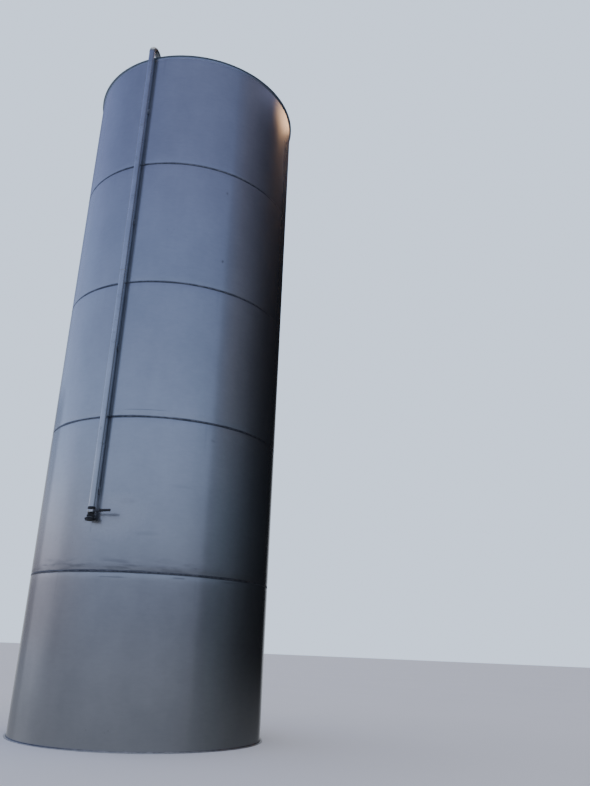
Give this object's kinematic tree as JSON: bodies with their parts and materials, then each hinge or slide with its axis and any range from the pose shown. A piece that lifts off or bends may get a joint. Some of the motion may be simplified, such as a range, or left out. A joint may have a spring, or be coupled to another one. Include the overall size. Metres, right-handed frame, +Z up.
{
  "type": "vertical storage tank",
  "caption": "Tall round tank of welded plate courses with a coned roof, a fill line over the rim ending in a lever valve, an overflow line and a low outlet.",
  "frame": {"origin": "centre of the bottom plate's underside, on the ground", "axes": "+Z up along the tank's axis, -Y towards the front with the fill line, +X the side that the closed valve lever points to"},
  "size_m": [2.551, 2.7783, 8.0396],
  "materials": {
    "shell_plate": "brushed stainless plate, dulled by weather",
    "pipe_steel": "pale satin stainless",
    "valve_body": "black, matt",
    "lever_grip": "black sleeve",
    "coupling_cap": "black, matt",
    "dark_fitting": "dark weathered fitting"
  },
  "bodies": {
    "tank": {"bottom_plate": "shell_plate", "shell_course_1": "shell_plate", "shell_course_2": "shell_plate", "shell_course_3": "shell_plate", "shell_course_4": "shell_plate", "shell_course_5": "shell_plate", "rim_angle": "shell_plate", "roof_cone": "shell_plate", "roof_manway_neck": "shell_plate", "roof_manway_lid": "shell_plate", "vent_neck": "shell_plate", "vent_hood": "shell_plate", "fill_pipe_bracket_1": "shell_plate", "fill_pipe_bracket_2": "shell_plate", "fill_pipe_bracket_3": "shell_plate", "fill_pipe_bracket_4": "shell_plate", "overflow_bracket_1": "shell_plate", "overflow_bracket_2": "shell_plate", "overflow_bracket_3": "shell_plate", "overflow_bracket_4": "shell_plate", "overflow_bracket_5": "shell_plate", "outlet_nozzle": "shell_plate", "outlet_flange": "shell_plate", "outlet_blind_flange": "shell_plate", "fill_pipe": "pipe_steel", "fill_pipe_return_bend": "pipe_steel", "fill_pipe_drop": "pipe_steel", "fill_pipe_roof_socket": "pipe_steel", "overflow_pipe": "pipe_steel", "hose_adaptor": "pipe_steel", "valve_body": "valve_body", "coupling_cap": "coupling_cap", "cam_arm_left": "coupling_cap", "cam_arm_right": "coupling_cap", "overflow_elbow": "dark_fitting"},
    "valve_handle": {"valve_stem": "pipe_steel", "valve_lever": "pipe_steel", "valve_lever_nut": "pipe_steel", "valve_lever_grip": "lever_grip"}
  },
  "joints": [
    {"name": "valve_lever_turn", "type": "hinge", "parent": "tank", "child": "valve_handle", "pos_m": [0, -1.357, 2.046], "axis": [0, 1, 0], "range_deg": [0, 90]}
  ]
}
